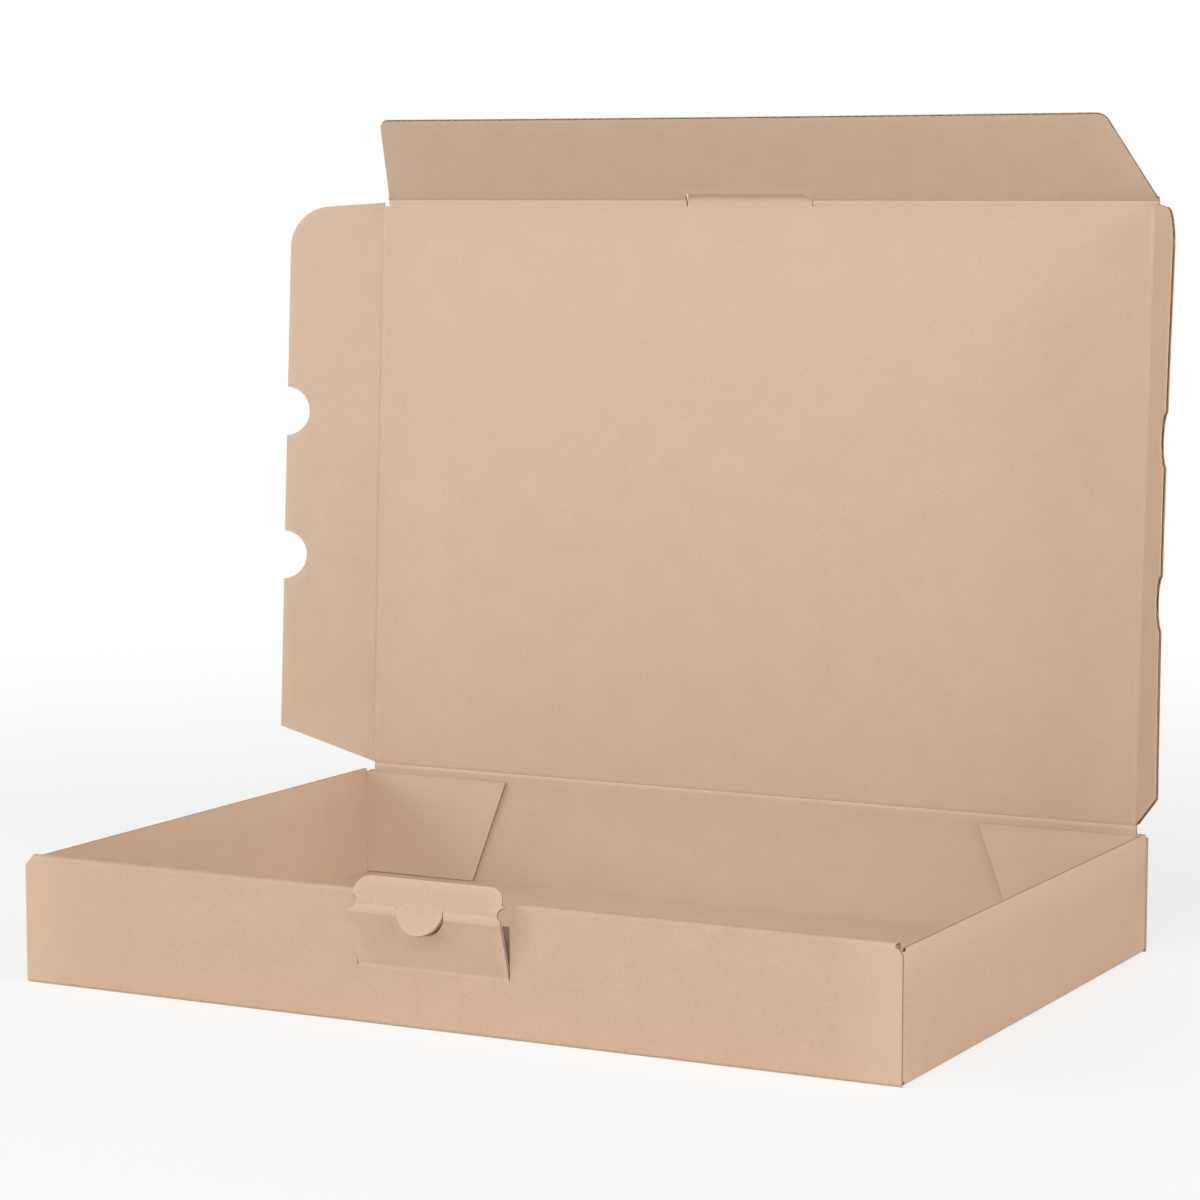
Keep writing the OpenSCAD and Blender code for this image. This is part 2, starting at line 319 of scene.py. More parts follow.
def slice_across(bm, axis, places):
    """Cuts the flat face across at each place along an axis, so that it can bend there."""
    normal = Vector((axis == 0, axis == 1, 0))
    live = bm.faces[:]
    for place in sorted(places):
        geom = set(live)
        for face in live:
            geom.update(face.edges)
            geom.update(face.verts)
        cut = bmesh.ops.bisect_plane(bm, geom=list(geom), dist=1e-8, plane_co=normal * place, plane_no=normal)
        faces = {g for g in cut["geom"] if isinstance(g, bmesh.types.BMFace)}
        faces.update(face for face in live if face.is_valid)
        live = [face for face in faces if max(v.co[axis] for v in face.verts) > place + 1e-7]


def thicken(bm, height):
    """Closed slab from the flat face, grown upwards."""
    grown = bmesh.ops.extrude_face_region(bm, geom=bm.faces[:], use_keep_orig=True)
    raised = [v for v in grown["geom"] if isinstance(v, bmesh.types.BMVert)]
    bmesh.ops.translate(bm, vec=Z * height, verts=raised)
    bmesh.ops.recalc_face_normals(bm, faces=bm.faces[:])


def spots(low, high, step):
    """Even places inside a span."""
    count = max(1, round((high - low) / step))
    return [low + (high - low) * i / count for i in range(1, count)]


def add_layer(whole, paths, joined, across, along, layer, relief):
    """Adds one paper of the board, flat: 0 the outer liner, 1 the inner liner, 2 the fluting."""
    board = bpy.context.scene.mailer_board
    half = board.thickness / 2
    bm = bmesh.new()
    for path in paths:
        part = bmesh.new()
        draw_outline(part, path)
        mesh = bpy.data.meshes.new("outline")
        part.to_mesh(mesh)
        part.free()
        bm.from_mesh(mesh)
        bpy.data.meshes.remove(mesh)
    bmesh.ops.remove_doubles(bm, verts=bm.verts[:], dist=0.002 * MM)
    bmesh.ops.recalc_face_normals(bm, faces=bm.faces[:])
    low = min(v.co.x for v in bm.verts)
    high = max(v.co.x for v in bm.verts)
    if layer < 2:
        band = bmesh.ops.inset_region(bm, faces=bm.faces[:], thickness=board.edge_band, use_even_offset=True)
        for edge in {e for face in band["faces"] for e in face.edges}:
            edge.smooth = False
        slice_across(bm, 1, along)
        slice_across(bm, 0, across)
    else:
        slice_across(bm, 1, along)
        eighth = board.pitch / 8
        slice_across(bm, 0, [k * eighth for k in range(int(low // eighth) + 1, int(high // eighth) + 1)])
    uv = bm.loops.layers.uv.new("sheet")
    wear = bm.verts.layers.float.new("wear")
    edge = {v for v in bm.verts if v.is_boundary and not joined(v.co.x, v.co.y)} if layer < 2 else set()
    for v in bm.verts:
        v[wear] = 1.0 if v in edge else 0.0
    thicken(bm, board.medium if layer == 2 else board.liner)
    for face in bm.faces:
        face.material_index = layer
        face.smooth = True
        for loop in face.loops:
            loop[uv].uv = loop.vert.co.xy
    swing = half - board.liner - board.medium / 2
    for v in bm.verts:
        x, y, z = v.co
        if layer == 2:
            z += swing * sin(2 * pi * x / board.pitch) - board.medium / 2
        elif layer == 0:
            z += half - board.liner
        else:
            z -= half
        if v[wear] > 0.5:
            z -= board.crush * (1 if z > 0 else -1)
        v.co = (x, y, z) if relief is None else (x, y, relief(x, y, z))
    mesh = bpy.data.meshes.new("layer")
    bm.to_mesh(mesh)
    bm.free()
    whole.from_mesh(mesh)
    bpy.data.meshes.remove(mesh)


def make_board(name, paths, place, joined=lambda x, y: False, across=(), along=(), relief=None, shift=(0, 0)):
    """One panel of fluted board: two liners and the fluting between them, cut flat and folded into place.
    joined tells which edges run on into a crease; relief presses the board; shift is the panel's place on
    the blank, so that paper grain and flutes run on from panel to panel."""
    whole = bmesh.new()
    for layer in range(3):
        add_layer(whole, paths, joined, across, along, layer, relief)
    uv = whole.loops.layers.uv["sheet"]
    for face in whole.faces:
        for loop in face.loops:
            loop[uv].uv += Vector(shift)
    for v in whole.verts:
        v.co = place(*v.co)
    bmesh.ops.recalc_face_normals(whole, faces=whole.faces[:])
    for edge in whole.edges:
        if edge.calc_face_angle(0) > radians(35):
            edge.smooth = False
    mesh = bpy.data.meshes.new(name)
    whole.to_mesh(mesh)
    whole.free()
    piece = bpy.data.objects.new(name, mesh)
    piece.modifiers.new("even_shading", "WEIGHTED_NORMAL").keep_sharp = True
    bpy.context.scene.collection.objects.link(piece)
    for paper in (outer_kraft(), inner_kraft(), fluting_kraft()):
        mesh.materials.append(paper)
    return piece


def add_node(tree, kind, settings=None, **links):
    """Node with its settings, and its inputs set or linked by name, or by number as i0, i1 and so on."""
    node = tree.nodes.new(kind)
    for key, value in (settings or {}).items():
        setattr(node, key, value)
    for key, value in links.items():
        place = int(key[1:]) if key[0] == "i" and key[1:].isdigit() else key.replace("_", " ")
        socket = node.inputs[place]
        if isinstance(value, bpy.types.NodeSocket):
            tree.links.new(value, socket)
        else:
            socket.default_value = value
    return node


def kraft(name, base, fleck, pale, roughness, ribs):
    """Unbleached kraft paper, machine made and uncoated: matt, with long fibres across the flutes, darker
    flecks, slow clouds where the pulp is denser, and faint ribs where the flutes are glued behind it."""
    material = bpy.data.materials.get(name)
    if material:
        return material
    board = bpy.context.scene.mailer_board
    material = bpy.data.materials.new(name)
    material.use_nodes = True
    tree = material.node_tree
    tree.nodes.clear()
    uv = add_node(tree, "ShaderNodeUVMap", {"uv_map": "sheet"}).outputs["UV"]
    # The sheet's coordinates in millimetres
    sheet = add_node(tree, "ShaderNodeVectorMath", {"operation": "SCALE"}, i0=uv, Scale=1000.0).outputs[0]
    # Clouds of 15 mm and mottles of 2 mm
    clouds = add_node(tree, "ShaderNodeTexNoise", None, Vector=sheet, Scale=0.065, Detail=2.0, Roughness=0.55)
    mottle = add_node(tree, "ShaderNodeTexNoise", None, Vector=sheet, Scale=0.5, Detail=3.0, Roughness=0.62)
    # Fibres about 0.25 mm wide and 2 mm long, coarser than real ones so that they show
    drawn = add_node(tree, "ShaderNodeMapping", None, Vector=sheet, Scale=(0.55, 3.2, 1.0)).outputs[0]
    fibres = add_node(tree, "ShaderNodeTexNoise", None, Vector=drawn, Scale=1.0, Detail=3.0, Roughness=0.7)
    paper, deep, light, mixed = (*base, 1), (*fleck, 1), (*pale, 1), {"data_type": "RGBA"}
    for pattern, low, high, most, tint in (
        (clouds, 0.35, 0.65, 0.05, deep),
        (mottle, 0.42, 0.66, 0.17, light),
        (fibres, 0.55, 0.75, 0.26, light),
        (fibres, 0.45, 0.25, 0.24, deep),
    ):
        level = pattern.outputs["Fac"]
        part = add_node(
            tree, "ShaderNodeMapRange", None, Value=level, From_Min=low, From_Max=high, To_Max=most,
        ).outputs[0]
        paper = add_node(tree, "ShaderNodeMix", mixed, i0=part, i6=paper, i7=tint).outputs[2]
    # Dark specks up to 1.5 mm long, in four cells out of ten
    specks = add_node(tree, "ShaderNodeTexVoronoi", {"feature": "F1"}, Vector=drawn, Scale=0.22)
    away = specks.outputs["Distance"]
    speck = add_node(
        tree, "ShaderNodeMapRange", None, Value=away, From_Min=0.02, From_Max=0.09, To_Min=0.55, To_Max=0.0,
    )
    rare = add_node(tree, "ShaderNodeMath", {"operation": "GREATER_THAN"}, i0=specks.outputs["Color"], i1=0.6)
    dark = add_node(
        tree, "ShaderNodeMath", {"operation": "MULTIPLY"}, i0=speck.outputs[0], i1=rare.outputs[0],
    ).outputs[0]
    paper = add_node(tree, "ShaderNodeMix", mixed, i0=dark, i6=paper, i7=deep).outputs[2]
    # Paler paper along the cut edges, where the die has rubbed it
    wear = add_node(tree, "ShaderNodeAttribute", {"attribute_name": "wear"}).outputs["Fac"]
    rubbed = add_node(
        tree, "ShaderNodeMath", {"operation": "MULTIPLY", "use_clamp": True}, i0=wear, i1=0.35,
    ).outputs[0]
    paper = add_node(tree, "ShaderNodeMix", mixed, i0=rubbed, i6=paper, i7=light).outputs[2]
    # Ribs at the flute pitch, a few hundredths of a millimetre deep
    across = add_node(tree, "ShaderNodeSeparateXYZ", None, Vector=sheet).outputs[0]
    turns = 2 * pi / (board.pitch / MM)
    phase = add_node(tree, "ShaderNodeMath", {"operation": "MULTIPLY"}, i0=across, i1=turns).outputs[0]
    wave = add_node(tree, "ShaderNodeMath", {"operation": "SINE"}, i0=phase).outputs[0]
    ribbed = add_node(tree, "ShaderNodeMath", {"operation": "MULTIPLY"}, i0=wave, i1=ribs).outputs[0]
    grain = add_node(
        tree, "ShaderNodeMath", {"operation": "MULTIPLY_ADD"}, i0=fibres.outputs["Fac"], i1=0.03, i2=ribbed,
    )
    rise = add_node(tree, "ShaderNodeMath", {"operation": "MULTIPLY_ADD"}, i0=mottle.outputs["Fac"], i1=0.05,
                    i2=grain.outputs[0])
    bump = add_node(tree, "ShaderNodeBump", None, Height=rise.outputs[0], Strength=0.6, Distance=MM)
    shader = add_node(tree, "ShaderNodeBsdfPrincipled", None, Base_Color=paper, Roughness=roughness, IOR=1.47,
                      Normal=bump.outputs[0])
    shader.inputs["Specular IOR Level"].default_value = 0.25
    output = add_node(tree, "ShaderNodeOutputMaterial")
    tree.links.new(shader.outputs[0], output.inputs["Surface"])
    return material


def outer_kraft():
    """Outer liner: kraft paper, calendered a little smoother on the face that shows."""
    look = bpy.context.scene.mailer_finish
    return kraft("kraft_liner_outside", look.outside, look.fleck, look.pale, 0.82, 0.012)


def inner_kraft():
    """Inner liner: the same kraft paper, a little rougher, with the flutes' ribs a little clearer. Its colour
    is paler than the outer liner's partly because that is the paper's own tone and partly as painted light
    that lifts the shaded inside of the tray.
    """
    look = bpy.context.scene.mailer_finish
    return kraft("kraft_liner_inside", look.inside, look.fleck, look.pale, 0.86, 0.018)


def fluting_kraft():
    """Fluting medium: recycled kraft pulp, softer than the liners. Its darker, warmer colour is partly the
    pulp's own and partly painted shade for the gaps where the cut edges show.
    """
    look = bpy.context.scene.mailer_finish
    return kraft("kraft_fluting", look.flute, look.fleck, look.pale, 0.9, 0.0)


def hinge_crease():
    lid = bpy.context.scene.mailer_lid
    return Crease("lid_hinge", X, Z, Y, -lid.lean, bpy.context.scene.mailer_board.reach)


def lid_axes():
    """Way up the lid and the way out of its outer face."""
    return hinge_crease().basis(1)


def flap_crease(side):
    """Crease of a side flap: -1 the left one, 1 the right one."""
    up, outer = lid_axes()
    lid = bpy.context.scene.mailer_lid
    angle = lid.left if side < 0 else lid.right
    joint = "left_flap_fold" if side < 0 else "right_flap_fold"
    return Crease(joint, up, X * side, outer, angle, bpy.context.scene.mailer_board.reach)


def tuck_crease():
    up, outer = lid_axes()
    return Crease("tuck_flap_fold", X, up, outer, bpy.context.scene.mailer_lid.fold,
                  bpy.context.scene.mailer_board.reach)


def lock_crease():
    lock = bpy.context.scene.mailer_lock
    return Crease("lock_panel_fold", X, Z, -Y, -lock.lean, bpy.context.scene.mailer_board.foot_reach)


def tongue_crease():
    up, outer = lock_crease().basis(1)
    return Crease("lock_tongue_fold", X, up, outer, bpy.context.scene.mailer_lock.fold,
                  bpy.context.scene.mailer_board.lock_reach)


def pressed(reach, groove, bead, axis=1):
    """Relief of a crease: a groove pressed into the outer face, and on the inner face a low bead with a
    narrow furrow at its far side."""
    half = bpy.context.scene.mailer_board.thickness / 2

    def relief(x, y, z):
        way = (x, y)[axis] / reach
        past = abs(way)
        sink = groove * max(0.0, 1 - past) ** 2 * (1 + 2 * past)
        rise = bead * (max(0.0, 1 - abs(way + 0.3) / 0.6) - 2.6 * max(0.0, 1 - abs(way - 0.4) / 0.26))
        part = (z + half) / (2 * half)
        return (half - sink) * part - (half + rise) * (1 - part)

    return relief


def make_crease(name, crease, paths, shift, groove, bead, steps=12):
    """Strips of pressed board along a crease; they butt against the panels at both sides."""
    reach = crease.reach
    piece = make_board(
        name, paths, lambda x, y, z: crease.bent(y, x, z), joined=lambda x, y: abs(y) > reach * 0.99,
        along=spots(-reach, reach, 2 * reach / steps), relief=pressed(reach, groove, bead), shift=shift,
    )
    crease.join(piece)
    return piece


def strip(low, high, reach):
    """Outline of a plain crease strip."""
    return [(low, -reach), (high, -reach), (high, reach), (low, reach)]


def on_lines(lines_x=(), lines_y=()):
    """Tells whether a point lies on a line where a panel runs on into a crease or a fold."""
    def joined(x, y):
        return any(abs(x - a) < NEAR for a in lines_x) or any(abs(y - a) < NEAR for a in lines_y)
    return joined


def pinched(inside):
    """Relief of a tight fold: its inner face lies deeper, which leaves a fine dark line in the corner."""
    half = bpy.context.scene.mailer_board.thickness / 2
    depth = bpy.context.scene.mailer_board.pinch
    return lambda x, y, z: z + depth * (half - z) / (2 * half) if inside(x, y) else z


def gentle(amount, low, high, left, right):
    """Slow bow of a panel, nothing at its four sides."""
    def relief(x, y, z):
        return z + amount * sin(pi * min(max((x - left) / (right - left), 0), 1)) \
            * sin(pi * min(max((y - low) / (high - low), 0), 1))
    return relief


class TrayPanel:
    """Heights and lines that the tray's panels share."""

    def __init__(self):
        tray, board = bpy.context.scene.mailer_tray, bpy.context.scene.mailer_board
        self.t = board.thickness
        self.half = tray.long / 2
        self.depth = tray.wide / 2
        self.fold = pi / 2 * self.t / 2
        self.wall = tray.front - 2 * self.t
        self.ridge = self.t + 2 * tray.gap
        self.roll = 2 * self.fold + self.ridge
        # Ways along the front board: foot fold, wall, roll, inner layer
        self.to_wall = self.fold
        self.to_roll = self.to_wall + self.wall
        self.to_inner = self.to_roll + self.roll
        self.to_end = self.to_inner + self.wall

    def front_way(self, z):
        """Way along the front board at a height on its outer layer."""
        return self.to_wall + z - self.t


class MAILER_OT_base(bpy.types.Operator):
    """Lays the base panel"""
    bl_idname = "mailer.base"
    bl_label = "Base panel"

    def execute(self, context):
        tray = TrayPanel()
        x, y = tray.half - tray.t, tray.depth - tray.t
        piece = make_board(
            "base_board", [[(-x, -y), (x, -y), (x, y), (-x, y)]],
            lambda px, py, pz: Vector((px, py, tray.t / 2 - pz)),
            joined=on_lines((-x, x), (-y, y)), across=spots(-x, x, 25 * MM), along=spots(-y, y, 25 * MM),
        )
        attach(piece, "tray")
        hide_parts("tray")
        return {"FINISHED"}


class MAILER_OT_front_wall(bpy.types.Operator):
    """Rolls the front wall over its corner flaps and cuts the lock's room into it"""
    bl_idname = "mailer.front_wall"
    bl_label = "Front wall"

    def execute(self, context):
        tray, sizes = TrayPanel(), context.scene.mailer_tray
        lock, board = context.scene.mailer_lock, context.scene.mailer_board
        crease = lock_crease()
        line = Bend(
            (-(tray.depth - tray.t), tray.t / 2), pi,
            [(tray.fold, -pi / 2), (tray.wall, 0), (tray.fold, -pi / 2), (tray.ridge, 0),
             (tray.fold, -pi / 2), (tray.wall, 0)],
        )
        middle = crease.origin.x
        inset = sizes.roll_inset
        out, near = tray.half, tray.half - inset
        # Lock's room, as ways along the board
        foot = tray.front_way(crease.origin.z) - board.foot_reach
        half = lock.wide / 2 + lock.gap
        far = lock.shift + lock.wide / 2 + lock.gap * 1.5
        tongue_line = tray.front_way(tongue_crease_height())
        head = tongue_line + lock.tongue + lock.gap + tray.t * 1.5
        left = [
            (middle, 0), (middle, foot), (middle - half, foot), (middle - half, head, lock.corner),
            (middle, head), (middle, tray.to_end), (-near, tray.to_end), (-near, tray.to_roll),
            (-out + inset * 0.7, tray.to_roll - inset * 0.1, inset * 0.4), (-out, tray.to_roll - inset * 0.9),
            (-out, 0),
        ]
        right = [
            (middle, 0), (out, 0), (out, tray.to_roll - inset * 0.9),
            (out - inset * 0.7, tray.to_roll - inset * 0.1, inset * 0.4), (near, tray.to_roll),
            (near, tray.to_end), (middle, tray.to_end), (middle, head),
            (middle + far, head, lock.corner_right), (middle + far, tongue_line - tray.t),
            (middle + half, tongue_line - tray.t), (middle + half, foot), (middle, foot),
        ]
        cuts = spots(0, tray.fold, tray.fold / 4) + [tray.to_wall]
        cuts += spots(tray.to_wall, tray.to_roll, 15 * MM)
        for start in (tray.to_roll, tray.to_inner - tray.fold):
            cuts += [start] + spots(start, start + tray.fold, tray.fold / 5) + [start + tray.fold]
        cuts += spots(tray.to_inner, tray.to_end, 15 * MM)

        def place(x, way, height):
            y, z = line.at(way, height)
            return Vector((x, y, z))

        piece = make_board(
            "front_board", [left, right], place, joined=on_lines((), (0, foot)),
            across=spots(-out, out, 25 * MM), along=cuts, shift=(0, -(tray.depth - tray.t)),
        )
        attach(piece, "tray")
        return {"FINISHED"}


def tongue_crease_height():
    """Height on the front wall of the tongue's crease while the lock panel is upright."""
    return lock_crease().origin.z + bpy.context.scene.mailer_lock.tall


class MAILER_OT_back_wall(bpy.types.Operator):
    """Raises the back wall up to the lid's crease"""
    bl_idname = "mailer.back_wall"
    bl_label = "Back wall"

    def execute(self, context):
        tray, sizes, board = TrayPanel(), context.scene.mailer_tray, context.scene.mailer_board
        crease = hinge_crease()
        top = tray.fold + crease.origin.z - board.reach - tray.t
        line = Bend((-(tray.depth - tray.t), tray.t / 2), pi, [(tray.fold, -pi / 2), (top, 0)])
        out, cut = tray.half, sizes.bevel
        path = [
            (-out, 0), (out, 0), (out, top - cut * 0.6), (out - cut, top + cut * 0.4),
            (out - cut, top), (-out + cut, top), (-out, top - cut * 0.6),
        ]
        path = [p for p in path if p[1] <= top]

        def place(x, way, height):
            y, z = line.at(way, height)
            return Vector((x, -y, z))

        piece = make_board(
            "back_board", [path], place, joined=on_lines((), (0, top)), across=spots(-out, out, 25 * MM),
            along=spots(0, tray.fold, tray.fold / 4) + [tray.fold] + spots(tray.fold, top, 15 * MM),
            relief=pinched(lambda x, y: y < tray.fold * 0.8), shift=(0, tray.depth - tray.t),
        )
        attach(piece, "tray")
        return {"FINISHED"}


class MAILER_OT_end_walls(bpy.types.Operator):
    """Raises the two end walls and folds their corner flaps round"""
    bl_idname = "mailer.end_walls"
    bl_label = "End walls"

    def execute(self, context):
        tray, sizes = TrayPanel(), context.scene.mailer_tray
        rear = tray.depth - 2 * tray.t
        front = tray.depth - 2 * tray.t - sizes.gap
        top = tray.fold + sizes.side - tray.t
        flap_top = top - sizes.flap_drop
        foot = Bend((0, tray.t / 2), 0, [(tray.fold, pi / 2), (top, 0)])
        low = tray.fold + 0.3 * MM
        rear_at, front_at = rear + tray.fold, -front - tray.fold
        front_end = front_at - sizes.front_flap + tray.t
        path = [
            (0, -front), (0, rear), (low, rear), (low, rear_at + sizes.rear_foot - tray.t),
            (flap_top, rear_at + sizes.rear_top - tray.t), (flap_top, rear), (top, rear), (top, -front),
            (flap_top, -front), (flap_top, front_end), (low, front_end), (low, -front),
        ]
        cuts = spots(-front, rear, 25 * MM) + [-front, rear, rear_at, front_at]
        cuts += spots(rear, rear_at, tray.fold / 4) + spots(front_at, -front, tray.fold / 4)
        lines = spots(0, tray.fold, tray.fold / 4) + [tray.fold] + spots(tray.fold, top, 15 * MM)
        edge = tray.fold * 0.2

        def in_fold(up, way):
            return up < tray.fold - edge or rear + edge < way < rear_at - edge

        for side, name in ((-1, "left_end_board"), (1, "right_end_board")):
            ring = Bend((0, -front), pi / 2, [(front + rear, 0), (tray.fold, pi / 2), (sizes.rear_top, 0)])
            turn_back = Bend((0, -front), -pi / 2, [(tray.fold, -pi / 2), (sizes.front_flap, 0)])

            def place(up, way, height):
                out, z = foot.at(up, -height)
                out -= tray.t / 2
                x, y = ring.at(way + front, -out) if way >= -front else turn_back.at(-front - way, out)
                return Vector((side * (tray.half - tray.t / 2 + x), y, z))

            piece = make_board(
                name, [path], place, joined=on_lines((0,), ()), across=lines, along=cuts,
                relief=pinched(in_fold), shift=(tray.half - tray.t, 0),
            )
            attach(piece, "tray")
        return {"FINISHED"}


class MAILER_OT_lid(bpy.types.Operator):
    """Raises the lid panel with its slit lip, and presses the crease that it turns on"""
    bl_idname = "mailer.lid"
    bl_label = "Lid panel"

    def execute(self, context):
        lid, board, tray = context.scene.mailer_lid, context.scene.mailer_board, TrayPanel()
        hinge = hinge_crease()
        x, low, high = lid.wide / 2 - board.reach, board.reach, lid.deep - board.reach
        lip, tip = lid.lip / 2, lid.deep + lid.lip_up
        path = [
            (-x, low), (x, low), (x, high), (lip, high), (lip, tip - lid.lip_right),
            (lip - lid.lip_right, tip, 0.8 * MM), (-lip + lid.lip_left, tip, 0.5 * MM),
            (-lip, tip - lid.lip_left), (-lip, high), (-x, high),
        ]
        shift = tray.depth + hinge.origin.z - tray.t
        panel = make_board(
            "lid_board", [path], lambda px, py, pz: hinge.point(py, px, pz),
            joined=lambda px, py: abs(abs(px) - x) < NEAR or abs(py - low) < NEAR
            or (abs(py - high) < NEAR and abs(px) > lip),
            across=spots(-x, x, 22 * MM), along=spots(low, high, 22 * MM) + [high],
            relief=gentle(0.6 * MM, low, high, -x, x), shift=(0, shift),
        )
        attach(panel, "lid")
        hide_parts("lid_panel")
        ends = strip(-lid.wide / 2, lid.wide / 2, board.reach)
        crease = make_crease("lid_crease", hinge, [ends], (0, shift), board.groove, board.bead)
        return {"FINISHED"}


class MAILER_OT_side_flaps(bpy.types.Operator):
    """Hangs the two notched side flaps on the lid"""
    bl_idname = "mailer.side_flaps"
    bl_label = "Lid side flaps"

    def execute(self, context):
        lid, board, tray = context.scene.mailer_lid, context.scene.mailer_board, TrayPanel()
        reach, free = board.reach, lid.flap
        head = lid.deep - board.thickness / 2
        foot_y = lid.root + free * tan(lid.foot_slope)
        top = free - lid.taper
        notch_half = (lid.notch ** 2 - lid.notch_out ** 2) ** 0.5
        shift = tray.depth + hinge_crease().origin.z - tray.t

        def edge_at(y):
            return free - lid.taper * (y - foot_y) / (head - foot_y)

        path = [(reach, lid.root + reach * tan(lid.foot_slope)), (free, foot_y)]
        for sign in (-1, 1):
            middle = lid.deep / 2 + sign * lid.notch_span / 2
            path += [
                (edge_at(middle - notch_half), middle - notch_half),
                ((edge_at(middle) + lid.notch_out, middle), -2 * notch_angle(lid)),
            ]
        foot_edge, head_edge = lid.root + reach * tan(lid.foot_slope), head - reach * tan(lid.head_slope)
        path += [(top, head - top * tan(lid.head_slope), lid.corner), (reach, head_edge)]
        for side, name, body, node in (
            (-1, "left_flap_board", "left_flap", "left_side_flap"),
            (1, "right_flap_board", "right_flap", "right_side_flap"),
        ):
            crease = flap_crease(side)
            curl = 1.2 * MM if side > 0 else 0.3 * MM

            def relief(x, y, z):
                return z - curl * ((x - reach) / free) ** 2 * sin(pi * y / lid.deep)

            flap = make_board(
                name, [path], crease.point, joined=on_lines((reach,), ()), across=spots(reach, free, 5 * MM),
                along=spots(foot_y, head, 12 * MM), relief=relief, shift=(lid.wide / 2, shift),
            )
            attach(flap, body)
            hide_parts(node)
            outline = [
                (-reach, reach), (0, reach), (0, lid.root), (reach, foot_edge), (reach, head_edge), (0, head),
                (0, lid.deep - reach), (-reach, lid.deep - reach),
            ]
            pressed_strip = make_board(
                name.replace("board", "crease"), [outline], crease.bent,
                joined=lambda x, y: abs(abs(x) - reach) < NEAR, across=spots(-reach, reach, reach / 6),
                along=spots(reach, lid.deep, 30 * MM), relief=pressed(reach, board.groove, board.bead, 0),
                shift=(lid.wide / 2, shift),
            )
            crease.join(pressed_strip)
        return {"FINISHED"}


def notch_angle(lid):
    """Half of the arc that a side flap's notch covers."""
    return acos(lid.notch_out / lid.notch)


class MAILER_OT_tuck_flap(bpy.types.Operator):
    """Folds the tuck flap down over the lid's front crease"""
    bl_idname = "mailer.tuck_flap"
    bl_label = "Tuck flap"

    def execute(self, context):
        lid, board, lock = context.scene.mailer_lid, context.scene.mailer_board, context.scene.mailer_lock
        tray = TrayPanel()
        crease = tuck_crease()
        # The record's point is the middle of the tuck flap; the lid's middle lies to its left
        middle = -lid.tuck_shift
        reach = board.reach
        root = lid.wide / 2 - lid.tuck_inset
        lip = lid.lip / 2 + lock.gap
        slot_top = lid.lip_up + lock.gap

        def end(y):
            return root - y * tan(lid.tuck_taper)

        path = [
            (-end(reach), reach), (middle - lip, reach), (middle - lip, slot_top - lid.lip_left),
            (middle - lip + lid.lip_left, slot_top), (middle + lip - lid.lip_right, slot_top),
            (middle + lip, slot_top - lid.lip_right), (middle + lip, reach), (end(reach), reach),
            (end(lid.tuck), lid.tuck, lid.tuck_corner), (-end(lid.tuck), lid.tuck, lid.tuck_corner),
        ]
        shift = (lid.tuck_shift, tray.depth + hinge_crease().origin.z - tray.t + lid.deep)
        panel = make_board(
            "tuck_board", [path], lambda x, y, z: crease.point(y, x, z), joined=on_lines((), (reach,)),
            across=spots(-root, root, 22 * MM), along=spots(reach, lid.tuck, 7 * MM),
            relief=lambda x, y, z: z - 0.5 * MM * ((y - reach) / lid.tuck) ** 2 * cos(pi * x / lid.wide),
            shift=shift,
        )
        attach(panel, "tuck")
        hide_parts("tuck_flap")
        sides = [strip(-root, middle - lip, reach), strip(middle + lip, root, reach)]
        pressed_strip = make_crease("tuck_crease", crease, sides, shift, board.groove, board.bead)
        return {"FINISHED"}


